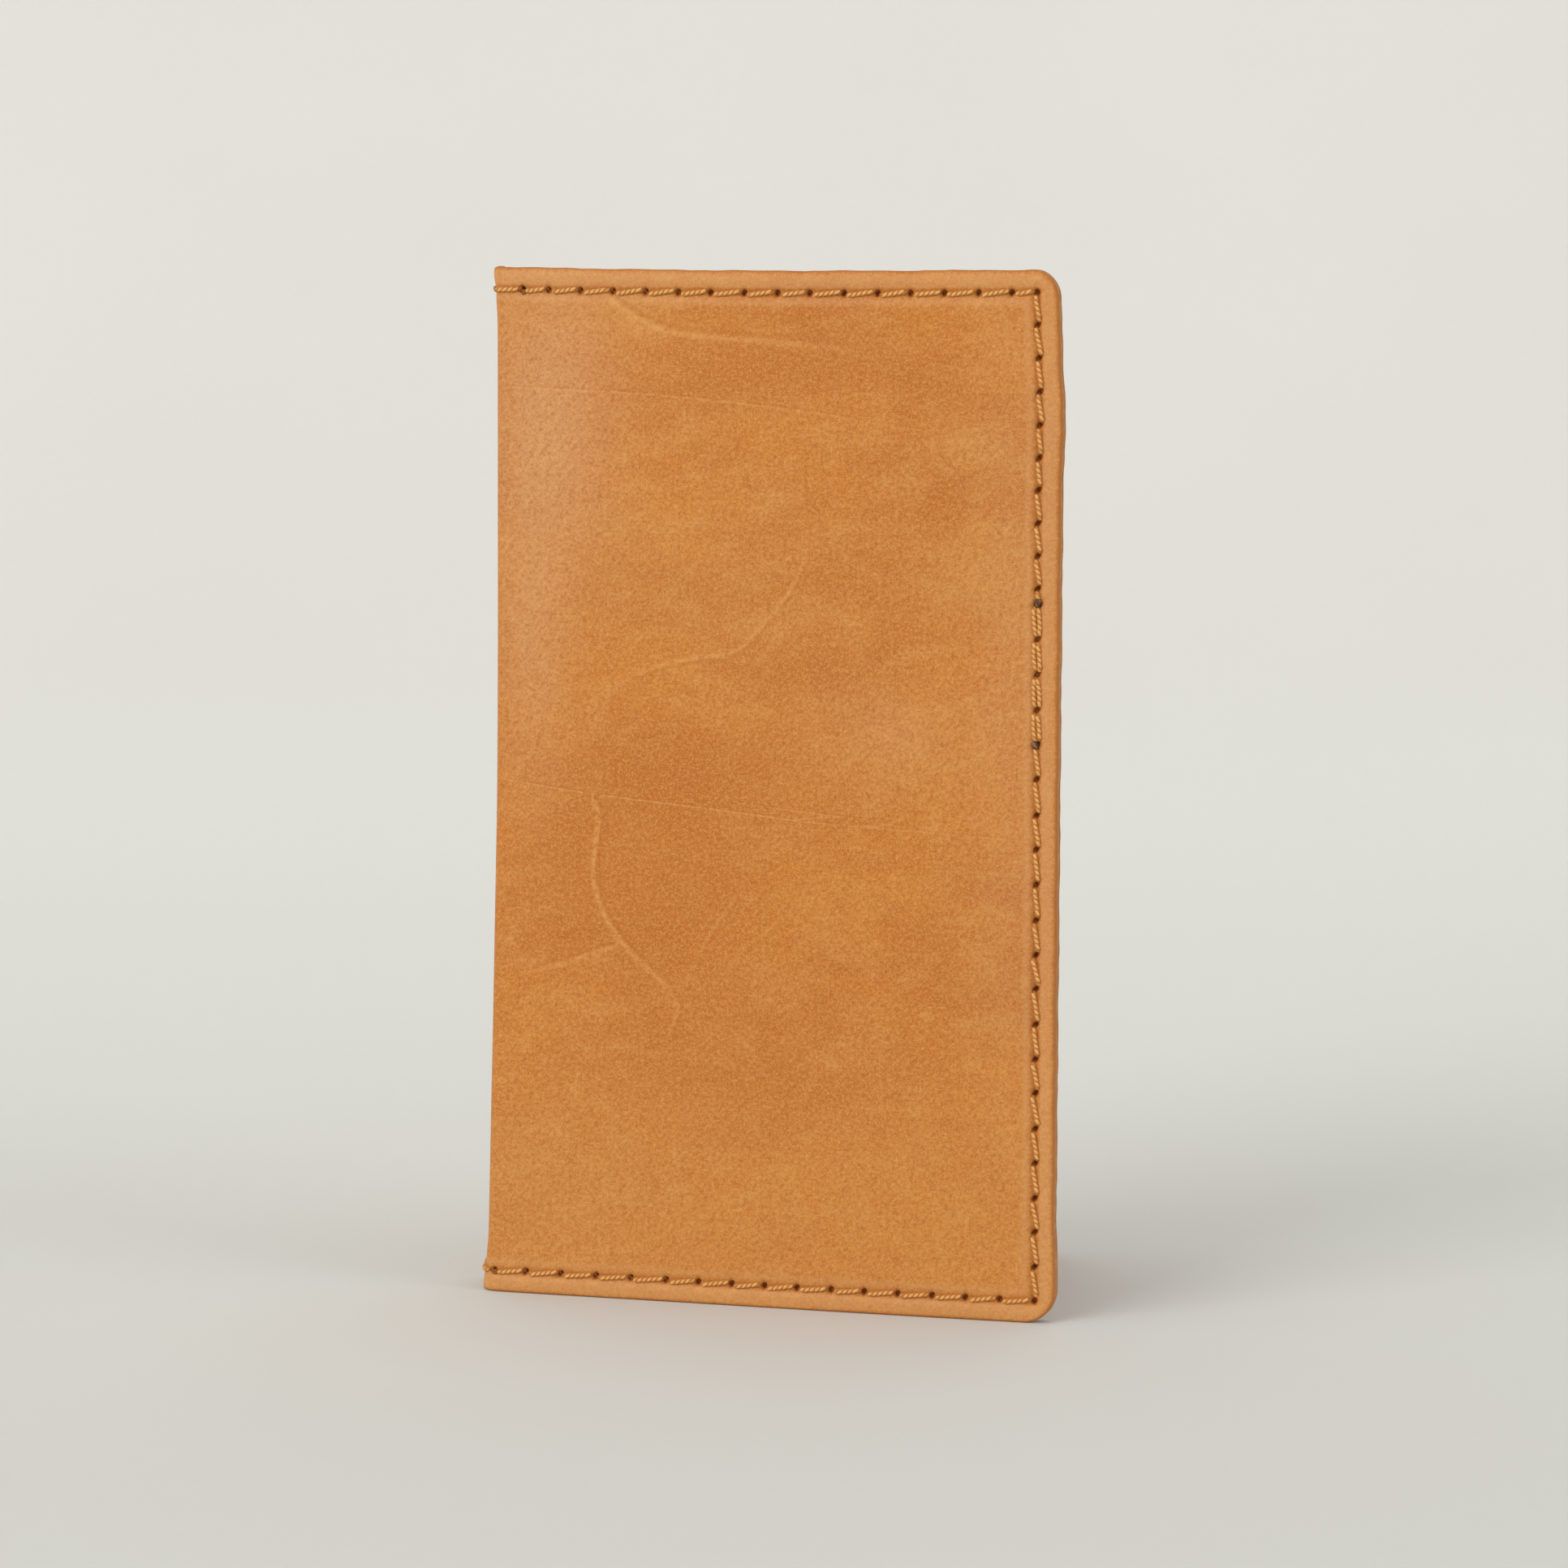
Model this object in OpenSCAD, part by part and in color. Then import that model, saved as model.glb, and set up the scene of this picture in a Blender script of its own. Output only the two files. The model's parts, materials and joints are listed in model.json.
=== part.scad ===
// Long bifold wallet. One leather shell folds at a spine, and sewn pockets fill both halves.
// The wallet stands on its lower edges, opened to a V. +Z is up, the spine is towards -X,
// the front cover is on the -Y side and the pockets open towards the spine.
// The origin is at floor level, at the middle of the whole wallet.

/* [Shell] */
// Height of the wallet, along the fold
wallet_h = 165; // [150:1:190]
// Width of a cover, from its fold line to its free edge
cover_w = 92; // [86:1:105]
// Thickness of the outer leather
shell_t = 1.5; // [1.2:0.1:2]
// Radius of the free corners
corner_r = 4.6; // [3:0.1:8]
// Angle between the covers as the wallet stands
opening_angle = 30; // [10:1:60]
// Slit between a cover and the spine strip, where the leather bends
fold_slit = 0.2; // [0.1:0.05:0.5]

/* [Pockets] */
// Thickness of the lining and pocket leather
pocket_t = 0.7; // [0.5:0.1:1]
// Room for banknotes behind each lining
note_gap = 0.6; // [0.4:0.1:1]
// Room for one card behind each pocket panel
card_gap = 0.9; // [0.8:0.1:1.2]
// Distance from the fold line to the open edge of each lining
lining_mouth = 6; // [4:1:12]
// Distance from the fold line to the open edge of the slip pocket
slip_mouth = 30; // [20:1:40]
// Distance from the fold line to the open edge of the first card pocket
card_mouth = 18; // [14:1:26]
// Step from one card pocket's open edge to the next
card_step = 10; // [6:1:12]
// Height of the seam that divides the card pockets, above the lower edge
divider_z = 73; // [60:1:90]
// Width of the turned-under strip along each sewn side
hem_w = 6; // [5.6:0.1:8]
// Free space between the two halves when the wallet is closed
closed_gap = 1; // [0.9:0.1:3]

/* [Stitching] */
// Distance from an edge to its seam
seam_inset = 3.5; // [2.5:0.1:4.5]
// Length of one stitch from hole to hole
stitch_pitch = 5.3; // [3:0.1:6]
// Thickness of the thread, measured across it
thread_w = 1; // [0.6:0.1:1.2]
// Height that the thread stands above the leather
thread_h = 0.35; // [0.2:0.05:0.4]
// Length of the thread that is hidden in the holes of one stitch
hole_gap = 1.1; // [0.6:0.1:1.5]

/* [Hidden] */
$fn = 64;
FRONT = -1;
REAR = 1;
OUTSIDE = 1;
INSIDE = -1;
// Film of glue that keeps neighbouring pieces apart
glue = 0.02;
half_angle = opening_angle / 2;
card_pockets = 3;
layer = card_gap + pocket_t;
last_mouth = card_mouth + (card_pockets - 1) * card_step;

// Heights above a shell panel's middle plane, towards the inside of the wallet
shell_face = shell_t / 2;
lining_v = shell_face + note_gap;
first_pocket_v = lining_v + pocket_t + card_gap;
front_top = first_pocket_v + pocket_t;
rear_top = front_top + (card_pockets - 1) * layer;
spine_w = front_top + rear_top + closed_gap;

// The box runs from the thread on the spine to the free edge of the innermost card pocket
spine_reach = shell_face + glue + thread_h;
edge_reach = cover_w * cos(half_angle) + rear_top * sin(half_angle);
hinge_x = (spine_reach - edge_reach) / 2;

// Seam lines, and stitch counts that bring each row close to the wanted pitch
seam_low = seam_inset;
seam_high = wallet_h - seam_inset;
seam_free = cover_w - seam_inset;
edge_stitches = round((seam_high - seam_low) / stitch_pitch);
edge_pitch = (seam_high - seam_low) / edge_stitches;
spine_stitches = 2;
spine_pitch = (spine_w - shell_t) / spine_stitches;

shell_colour = [0.78, 0.5, 0.26];
pocket_colour = [0.7, 0.44, 0.22];
needle_colour = [0.72, 0.5, 0.28];
bobbin_colour = [0.62, 0.42, 0.24];

// Places a half that is drawn flat: X runs from the fold line to the free edge,
// Y is the height above the shell's middle plane towards the inside, and Z is up
module on_half(side) {
    translate([hinge_x, side * spine_w / 2, 0])
        rotate([0, 0, side * half_angle])
            mirror([0, side == REAR ? 1 : 0, 0])
                children();
}

// Outline of a panel from its open edge to the free edge, with round free corners
module panel_outline(mouth) {
    intersection() {
        translate([mouth, 0])
            square([cover_w - mouth, wallet_h]);
        union() {
            square([cover_w - corner_r, wallet_h]);
            translate([0, corner_r])
                square([cover_w, wallet_h - 2 * corner_r]);
            for (z = [corner_r, wallet_h - corner_r])
                translate([cover_w - corner_r, z])
                    circle(corner_r);
        }
    }
}

// A flat drawing in X and Z, made solid from height v by thickness t
module upright(v, t) {
    translate([0, v + t, 0])
        rotate([90, 0, 0])
            linear_extrude(t)
                children();
}

module panel(mouth, v, t) {
    upright(v, t)
        panel_outline(mouth);
}

// Strips under a pocket panel that is sewn along its top, lower and free sides
module hems(mouth, v, t) {
    inner_x = cover_w - hem_w;
    upright(v, t)
        panel_outline(inner_x);
    for (z = [0, wallet_h - hem_w])
        upright(v, t)
            translate([mouth, z])
                square([inner_x - glue - mouth, hem_w]);
}

// Strip under the seam that divides the card pockets
module divider_hem(mouth, v, t) {
    upright(v, t)
        translate([mouth, divider_z - hem_w / 2])
            square([cover_w - hem_w - glue - mouth, hem_w]);
}

// A lining or pocket panel whose leather starts at height v, above a room of the given depth
module pocket(mouth, v, room) {
    panel(mouth, v, pocket_t);
    hems(mouth, v - room + glue, room - 2 * glue);
}

// Section of a thread that lies on a face. It rises towards the given side.
module thread_section(rise) {
    polygon([
        [-thread_w / 2, 0],
        [thread_w / 2, 0],
        [thread_w / 4, rise * thread_h],
        [-thread_w / 4, rise * thread_h]
    ]);
}

// Stitches that run upwards from a point, on the face at height v
module rising_row(x, v, rise, start, pitch, count) {
    for (i = [0 : count - 1])
        translate([x, v + rise * glue, start + i * pitch + hole_gap / 2])
            linear_extrude(pitch - hole_gap)
                thread_section(rise);
}

// Stitches that run along X from a point, on the face at height v
module level_row(z, v, rise, start, pitch, count) {
    for (i = [0 : count - 1])
        translate([start + i * pitch + hole_gap / 2, v + rise * glue, z])
            rotate([90, 0, 90])
                linear_extrude(pitch - hole_gap)
                    mirror([1, -1])
                        thread_section(rise);
}

// The perimeter seam of one half, on the face at height v
module half_seam(v, rise, first_x) {
    count = floor((seam_free - first_x) / stitch_pitch);
    rising_row(seam_free, v, rise, seam_low, edge_pitch, edge_stitches);
    for (z = [seam_low, seam_high])
        level_row(z, v, rise, seam_free - count * stitch_pitch, stitch_pitch, count);
}

module front_cover() {
    color(shell_colour)
        on_half(FRONT)
            panel(shell_face + fold_slit, -shell_face, shell_t);
}

module rear_cover() {
    color(shell_colour)
        on_half(REAR)
            panel(shell_face + fold_slit, -shell_face, shell_t);
}

// The folded strip, rounded about both fold lines so that the covers turn round it
module spine_strip() {
    color(shell_colour)
        translate([hinge_x, 0, 0])
            linear_extrude(wallet_h) {
                square([shell_t, spine_w], center = true);
                for (side = [FRONT, REAR])
                    translate([0, side * spine_w / 2])
                        circle(shell_face);
            }
}

module front_lining() {
    color(pocket_colour)
        on_half(FRONT)
            pocket(lining_mouth, lining_v, note_gap);
}

module rear_lining() {
    color(pocket_colour)
        on_half(REAR)
            pocket(lining_mouth, lining_v, note_gap);
}

module slip_pocket() {
    color(pocket_colour)
        on_half(FRONT)
            pocket(slip_mouth, first_pocket_v, card_gap);
}

// Card pockets count from the lining towards the inside of the wallet
module card_pocket(index) {
    mouth = card_mouth + index * card_step;
    v = first_pocket_v + index * layer;
    color(pocket_colour)
        on_half(REAR) {
            pocket(mouth, v, card_gap);
            divider_hem(mouth, v - card_gap + glue, card_gap - 2 * glue);
        }
}

module front_needle_thread() {
    color(needle_colour)
        on_half(FRONT)
            half_seam(-shell_face, -1, shell_face + fold_slit);
}

module rear_needle_thread() {
    color(needle_colour)
        on_half(REAR)
            half_seam(-shell_face, -1, shell_face + fold_slit);
}

// Inner stitches lie on whichever panel is innermost, and stop where its open edge is
module front_bobbin_thread() {
    color(bobbin_colour)
        on_half(FRONT)
            half_seam(front_top, 1, slip_mouth);
}

module rear_bobbin_thread() {
    color(bobbin_colour)
        on_half(REAR)
            half_seam(rear_top, 1, last_mouth);
}

// Stitches across the spine strip, on its outside or its inside face
module spine_rows(face) {
    translate([hinge_x, 0, 0])
        rotate([0, 0, 90])
            for (z = [seam_low, seam_high])
                level_row(z, face * shell_face, face, shell_face - spine_w / 2,
                    spine_pitch, spine_stitches);
}

module spine_needle_thread() {
    color(needle_colour)
        spine_rows(OUTSIDE);
}

module spine_bobbin_thread() {
    color(bobbin_colour)
        spine_rows(INSIDE);
}

// The seam that divides the card pockets. It goes through the pockets and the lining only.
module divider_thread() {
    count = floor((cover_w - hem_w - last_mouth) / stitch_pitch);
    color(needle_colour)
        on_half(REAR)
            level_row(divider_z, rear_top, 1, last_mouth, stitch_pitch, count);
}

front_cover();
spine_strip();
rear_cover();
front_lining();
slip_pocket();
rear_lining();
card_pocket(0);  // card_pocket_1
card_pocket(1);  // card_pocket_2
card_pocket(2);  // card_pocket_3
front_needle_thread();
spine_needle_thread();
rear_needle_thread();
front_bobbin_thread();
spine_bobbin_thread();
rear_bobbin_thread();
divider_thread();
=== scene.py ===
"""Long bifold wallet in tan leather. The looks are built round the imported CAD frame.

A point of the wallet is described in millimetres by (s, v, z): s runs along the shell leather from the
middle of the spine to the free edge, v is the height above the shell's middle plane towards the inside
of the wallet, and z is up. place() turns that into the row frame, so every layer bends and sags together.
"""

import json
import math

import bmesh
import bpy
import numpy as np
from mathutils import Matrix


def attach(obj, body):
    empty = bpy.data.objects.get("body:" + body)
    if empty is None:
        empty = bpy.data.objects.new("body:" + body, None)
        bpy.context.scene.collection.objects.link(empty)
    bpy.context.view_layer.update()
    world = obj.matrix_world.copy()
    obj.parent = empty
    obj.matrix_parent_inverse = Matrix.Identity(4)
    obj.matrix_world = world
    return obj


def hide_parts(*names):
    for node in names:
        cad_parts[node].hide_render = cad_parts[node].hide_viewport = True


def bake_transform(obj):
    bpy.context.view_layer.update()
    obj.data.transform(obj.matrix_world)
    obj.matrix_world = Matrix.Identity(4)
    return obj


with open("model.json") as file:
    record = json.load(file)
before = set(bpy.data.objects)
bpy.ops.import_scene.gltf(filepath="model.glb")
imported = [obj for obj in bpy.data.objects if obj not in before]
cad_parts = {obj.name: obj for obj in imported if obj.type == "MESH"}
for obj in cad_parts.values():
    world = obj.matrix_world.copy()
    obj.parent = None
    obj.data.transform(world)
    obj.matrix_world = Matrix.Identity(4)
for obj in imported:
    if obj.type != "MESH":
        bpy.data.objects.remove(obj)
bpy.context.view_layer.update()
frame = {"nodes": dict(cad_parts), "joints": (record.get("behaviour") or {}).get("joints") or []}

MM = 0.001
# The two halves, by the sign of their Y
FRONT = -1
REAR = 1
SIDE_NAMES = {FRONT: "front", REAR: "rear"}
rng = np.random.default_rng(11)

# -------------------- sizes that come from the frame

folds = {joint["name"]: joint for joint in frame["joints"]}
fold_x = folds["rear_fold"]["pos_m"][0] / MM
fold_y = folds["rear_fold"]["pos_m"][1] / MM
half_angle = math.radians(-folds["rear_fold"]["range_deg"][0])


def flat_box(node, side):
    """Lowest and highest (u, v, z) of a CAD node in mm. u runs from the fold line along its cover."""
    points = np.array([vertex.co for vertex in frame["nodes"][node].data.vertices]) / MM
    x = points[:, 0] - fold_x
    y = side * points[:, 1] - fold_y
    u = x * math.cos(half_angle) + y * math.sin(half_angle)
    v = x * math.sin(half_angle) - y * math.cos(half_angle)
    local = np.stack([u, v, points[:, 2]], axis=1)
    return local.min(axis=0), local.max(axis=0)


cover_high = flat_box("front_cover", FRONT)[1]
cover_w = cover_high[0]
wallet_h = cover_high[2]
shell_face = cover_high[1]

PANELS = {
    FRONT: ["front_lining", "slip_pocket"],
    REAR: ["rear_lining", "card_pocket_1", "card_pocket_2", "card_pocket_3"],
}
panel_boxes = {name: flat_box(name, side) for side, names in PANELS.items() for name in names}
mouths = {name: box[0][0] for name, box in panel_boxes.items()}
panel_tops = {name: box[1][1] for name, box in panel_boxes.items()}
divider_z = sum(corner[2] for corner in flat_box("divider_thread", REAR)) / 2

# -------------------- sizes of what only the looks have, in mm

PANEL_T = 0.7
CORNER_R = 4.6
FOLD_R = 2.2  # radius of the folded leather, at its middle plane
SEAM_INSET = 3.5
STITCH = 5.4
PLIES = 3
PLY_SIDES = 8
PLY_R = 0.285
PLY_OFFSET = 0.2
PLY_LAY = 2.5  # length of one full twist of the thread
THREAD_RISE = 0.12  # height of the thread's middle above the floor of its groove
THREAD_DIVE = 1.2
THREAD_STEP = 0.15  # length of a thread's mesh cells
ROW_SLANT = 0.36  # how far a stitch's ends stand off its seam line, to opposite sides
COLUMN_SLANT = 0.48
TWIN_OFFSET = 0.42  # from the seam line to each of two threads that lie side by side
GROOVE = 0.24
GROOVE_W = 0.7
HOLE_DEPTH = 0.95
HOLE_W = 0.52
UPRIGHT_LEAN = 0.7  # slant of the holes along the free edge, in radians
LEVEL_LEAN = 0.22
SPREAD_TOP = 85  # height under which the fold leans out towards its foot
SPREAD_SLOPE = 0.0215
SPREAD_EASE = 15
EDGE_ROUND = 0.5
EDGE_TRIM = 0.45  # how much narrower the trimmed and burnished free edge makes a cover
BACK_ROUND = 0.25
BACKTACK_Z = 113.4  # where the two ends of the perimeter seam overlap
BACKTACK_STITCHES = 4
BELOW_BACKTACK = 20  # stitches of the free edge from the low corner up to the overlap

turn = math.pi / 2 - half_angle
fold_tangent = FOLD_R * math.tan(turn / 2)
spine_flat = fold_y - fold_tangent
fold_end = spine_flat + FOLD_R * turn
reach = fold_end + cover_w - fold_tangent - EDGE_TRIM
seam_low = SEAM_INSET
seam_high = wallet_h - SEAM_INSET


def along(u):
    """The distance s of a place at u mm from the fold line, on the flat of a cover."""
    return u + fold_end - fold_tangent


def smooth(x, low, high):
    """0 below low, 1 above high, and an even S-curve between them."""
    t = np.clip((x - low) / (high - low), 0, 1)
    return t * t * (3 - 2 * t)


def bell(x, width):
    return np.exp(-np.square(x / width))


# -------------------- how the flat leather stands in space
# Plain numbers here are mm: how far the leather moves, and where along s or z


def spine_shift(s, z):
    """How far the fold stands out to -X: the spine spreads towards its foot and at its sewn ends."""
    below = SPREAD_TOP - z
    spread = SPREAD_SLOPE * (below + np.sqrt(below**2 + SPREAD_EASE**2)) / 2 - 0.25
    ends = 0.55 * bell(wallet_h - z, 5) + 0.62 * bell(z, 5.5)
    return (spread + ends) * (1 - smooth(s, 8, 36))


def ragged(length):
    """Unevenness of a hand-cut edge, from the length along it."""
    return 0.045 * np.sin(length / 0.93 + 1.3 * np.sin(length / 3.1)) + 0.05 * np.sin(length / 2.6 + 0.8)


def edge_shift(side, s, z):
    """How far the free edge of the front cover stands out of its straight line."""
    uneven = 0.8 * ragged(z + 40 * side) * smooth(s, reach - 2, reach)
    if side == REAR:
        return 0.2 * smooth(s, reach - 30, reach) + uneven
    bulge = 0.2 + 0.25 * bell(z - 142, 8) - 0.3 * smooth(z, 150, 160)
    trimmed = 0.25 * smooth(z, 144, 150) - 0.3 * bell(z - 7, 6)
    return bulge * smooth(s, reach - 30, reach) - trimmed * smooth(s, reach - 3.4, reach) + uneven


def bow(side, s, z):
    """How far a cover bends away from its flat plane, towards the inside."""
    cover = np.clip((s - fold_end) / (reach - fold_end), 0, 1)
    crown = -0.7 * np.sin(math.pi * cover) * (0.8 + 0.2 * np.cos(z / 40 + side))
    roll = 0.55 * bell(s - fold_end, 8) * smooth(s, spine_flat, fold_end) * smooth(z, 30, 120)
    ripple = 0.05 * np.sin(s / 9.0 + z / 17.0 + side) * np.sin(z / 11.0 - s / 23.0)
    return crown + roll + ripple * smooth(cover, 0, 0.2)


def place(side, s, v, z):
    """Points in the row frame, in mm, as an array with the last axis of length 3."""
    s, v, z = np.broadcast_arrays(np.asarray(s, float), np.asarray(v, float), np.asarray(z, float))
    angle = np.clip((s - spine_flat) / FOLD_R, 0, turn)
    beyond = np.maximum(s - fold_end, 0) + edge_shift(side, s, z)
    height = v + bow(side, s, z)
    x = fold_x + FOLD_R * (1 - np.cos(angle)) + beyond * math.sin(turn)
    y = np.minimum(s, spine_flat) + FOLD_R * np.sin(angle) + beyond * math.cos(turn)
    x = x + height * np.cos(angle) - spine_shift(np.abs(s), z)
    y = side * (y - height * np.sin(angle))
    share = np.clip(s / reach, 0, 1)
    lift = (0.4 - 0.45 * np.sin(math.pi * share) - 0.3 * share) * smooth(z, 130, wallet_h)
    lift = lift + ragged(side * s) * smooth(z, wallet_h - 3, wallet_h)
    return np.stack([x, y, z + lift], axis=-1)


# -------------------- seams


def spaced(start, end, count, jitter=0.1):
    """Hole places of a sewn run: even stitches with the small errors of a machine."""
    places = np.linspace(start, end, count + 1)
    places[1:-1] += rng.uniform(-jitter, jitter, count - 1)
    return places


corner_top = along(cover_w - SEAM_INSET - 0.6)
corner_low = along(cover_w - SEAM_INSET + 0.1)
CORNER_STITCH = 4.0

# Signed s of the holes in each level row, from the front corner (negative) to the rear one. The row is
# one continuous run over both folds. Both rows have as many holes on each half.
top_row = np.concatenate([
    [-corner_top],
    spaced(-corner_top + CORNER_STITCH, -along(8.3), 14),
    [-along(3.9), -3.95, 1.3, 6.5],
    spaced(11.9, corner_top, 15),
])
low_row = np.concatenate([
    spaced(-corner_low, -along(6.3), 15),
    [-6.4, -1.1, 4.2],
    spaced(9.6, corner_low, 16),
])
columns = {
    FRONT: np.concatenate([
        spaced(seam_low, BACKTACK_Z, BELOW_BACKTACK),
        spaced(BACKTACK_Z + 2.3, seam_high, 9),
    ]),
    REAR: spaced(seam_low, seam_high, 30),
}


def own_holes(row, side):
    """The holes of a level row on one half, from the spine outwards, as distances s."""
    return np.sort(side * row[row * side > 0])


def column_s(side, z):
    """Distance s of the seam along the free edge. It leans a little on the front."""
    if side == REAR:
        return np.full_like(np.asarray(z, float), along(cover_w - SEAM_INSET))
    return corner_low + (corner_top - corner_low) * np.asarray(z, float) / wallet_h


def all_holes(side):
    """Every hole of one half as (s, z, upright). Upright is 1 on the seam along the free edge."""
    top = own_holes(top_row, side)
    low = own_holes(low_row, side)
    column = columns[side][1:-1]
    rows = [
        np.stack([top, np.full(len(top), seam_high), np.zeros(len(top))], axis=1),
        np.stack([low, np.full(len(low), seam_low), np.zeros(len(low))], axis=1),
        np.stack([column_s(side, column), column, np.ones(len(column))], axis=1),
    ]
    # The hole just across the middle of the spine dents this half too
    if side == REAR:
        across = np.abs(low_row[low_row < 0]).min()
        rows.append(np.array([[-across, seam_low, 0]]))
    else:
        across = top_row[top_row > 0].min()
        rows.append(np.array([[-across, seam_high, 0]]))
    return np.concatenate(rows)


holes = {side: all_holes(side) for side in (FRONT, REAR)}
# Two passes of the needle have torn the first hole of the overlap wider
torn = [float(column_s(FRONT, BACKTACK_Z)) + 0.1, BACKTACK_Z - 0.3, 1]
holes[FRONT] = np.append(holes[FRONT], [torn], axis=0)


def edge_distance(s, z):
    """Distance to the nearest cut edge of a half, which has rounded corners at its free side."""
    p = reach - s
    q = np.minimum(z, wallet_h - z)
    corner = (p < CORNER_R) & (q < CORNER_R)
    rounded = CORNER_R - np.hypot(CORNER_R - p, CORNER_R - q)
    return np.maximum(np.where(corner, rounded, np.minimum(p, q)), 0)


def seam_distance(side, s, z):
    """Distance to the perimeter seam, positive on the side of the middle of the cover."""
    a = column_s(side, z) - s
    b = np.minimum(seam_high - z, z - seam_low)
    inside = np.minimum(a, b)
    outside = -np.hypot(np.minimum(a, 0), np.minimum(b, 0))
    return np.where(inside >= 0, inside, outside)


def hole_distance(side, points, s, z):
    """Distance to the nearest of some holes, measured so that their outlines are circles.

    The holes are slanting slits. They lean to the right when the leather is seen from outside.
    """
    nearest = np.full(s.shape, 1e3)
    for hole_s, hole_z, upright in points:
        lean = UPRIGHT_LEAN if upright else LEVEL_LEAN
        across = -side * (s - hole_s)
        up = z - hole_z
        long = math.sin(lean) * across + math.cos(lean) * up
        narrow = math.cos(lean) * across - math.sin(lean) * up
        outline = np.hypot(1.4 * narrow, 0.8 * long) if upright else np.hypot(1.25 * narrow, long)
        nearest = np.minimum(nearest, outline)
    return nearest


def rounding(distance, radius):
    """How far a face falls back where its edge is rounded."""
    inward = np.clip(radius - distance, 0, radius)
    return radius - np.sqrt(radius**2 - inward**2)


# -------------------- natural marks of the hide

# Each mark is a smooth line through a few (u, z, strength) points, then its half width in mm
FRONT_MARKS = [
    ([(1, 83.3, 0.7), (16, 81.5, 1), (35, 79.8, 0.9), (53, 78.1, 0.75), (70, 77.2, 0.6),
      (87, 76.2, 0.45)], 0.23),
    ([(40, 80.9, 0), (46, 80.2, 0.5), (58, 79.1, 0.4), (66, 78.5, 0)], 0.2),
    ([(16.1, 80.1, 0.9), (16.9, 77.8, 1), (16.3, 72.9, 0.95), (16.1, 68, 0.85), (17.4, 63.4, 0.85),
      (20.6, 58.2, 1), (24.3, 54.7, 0.85), (28.5, 51, 0.45)], 0.72),
    ([(28, 51.4, 0.45), (30.2, 47.9, 0.5), (29.3, 44.4, 0.3), (27, 41, 0)], 0.6),
    ([(7, 52.7, 0.3), (11, 54, 0.6), (14.3, 55.2, 0.7), (17, 56.2, 0.85), (20.2, 57.2, 0.6)], 0.6),
    ([(17, 161.5, 0.5), (20, 159.3, 0.9), (24.5, 156.6, 0.95), (31, 154.9, 0.8), (43, 153.9, 0.65),
      (55, 152.9, 0.5), (64, 151, 0)], 0.85),
    ([(20.5, 157.6, 0), (24, 154.6, 0.6), (28, 152.4, 0)], 0.9),
    ([(1, 146, 0.6), (26, 145.2, 0.7), (52, 142.7, 0.6), (78, 138.6, 0)], 0.3),
    ([(49, 137, 0), (50.5, 129, 0.2), (51, 121, 0.35), (49, 115.5, 0.7), (44.5, 109.5, 0.6),
      (39.5, 104.8, 0.8), (33.5, 103.8, 0.85), (26.5, 102.2, 0.65), (20.5, 99.3, 0.4), (17.5, 96, 0)], 0.55),
    ([(43, 69, 0), (37.5, 62.5, 0.35), (34.9, 58.5, 0.45), (33.3, 55, 0.45), (31.7, 52.4, 0.1)], 0.55),
    ([(50, 65, 0), (45, 60.5, 0.25), (40.5, 56.7, 0.3), (38, 54, 0)], 0.55),
    ([(37, 47, 0), (42, 42, 0.3), (45, 37, 0)], 0.6),
    ([(73, 144, 0), (71.4, 138, 0.5), (73, 134.5, 0.5), (76, 132.6, 0)], 0.7),
    ([(57, 41, 0), (52, 36, 0.3), (50, 30, 0)], 0.8),
]
REAR_MARKS = [
    ([(14, 44, 0), (19, 46, 0.5), (26, 45, 0.6), (31, 49, 0.4), (34, 56, 0)], 0.5),
    ([(37, 61, 0), (39, 66, 0.4), (37, 72, 0)], 0.5),
    ([(72, 147, 0), (66, 144, 0.4), (61, 139, 0.5), (59, 133, 0)], 0.5),
    ([(58, 126, 0), (55, 121, 0.4), (56, 115, 0)], 0.6),
    ([(20, 133, 0), (33, 131, 0.5), (52, 129.5, 0.3), (84, 129, 0)], 0.25),
]
MARKS = {FRONT: FRONT_MARKS, REAR: REAR_MARKS}


def smooth_line(points, steps=8):
    """A Catmull-Rom curve through points, as an array of points."""
    p = np.array(points, float)
    p = np.concatenate([[2 * p[0] - p[1]], p, [2 * p[-1] - p[-2]]])
    t = np.linspace(0, 1, steps, endpoint=False)[:, None]
    parts = []
    for a, b, c, d in zip(p, p[1:], p[2:], p[3:]):
        cubic = 2 * b + (c - a) * t + (2 * a - 5 * b + 4 * c - d) * t**2 + (3 * b - a - 3 * c + d) * t**3
        parts.append(cubic / 2)
    return np.concatenate(parts + [p[-2:-1]])


def mark_field(side, s, z):
    """For each place: signed distance to the nearest mark, that mark's strength there, and its width."""
    u = s - along(0)
    field = np.zeros(s.shape + (3,))
    field[..., 0] = 50
    for points, width in MARKS[side]:
        line = smooth_line(points)
        best = np.full(s.shape, 50.0)
        strength = np.zeros(s.shape)
        for a, b in zip(line, line[1:]):
            step = b - a
            t = np.clip(((u - a[0]) * step[0] + (z - a[1]) * step[1]) / (step[:2] @ step[:2]), 0, 1)
            du = u - a[0] - t * step[0]
            dz = z - a[1] - t * step[1]
            distance = np.hypot(du, dz)
            nearer = distance < np.abs(best)
            best = np.where(nearer, distance * np.sign(step[0] * dz - step[1] * du + 1e-9), best)
            strength = np.where(nearer, a[2] + t * step[2], strength)
        wins = np.abs(best) / width < np.abs(field[..., 0]) / np.maximum(field[..., 2], 0.2)
        field[wins] = np.stack([best, np.maximum(strength, 0), np.full(s.shape, width)], axis=-1)[wins]
    return field


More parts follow.
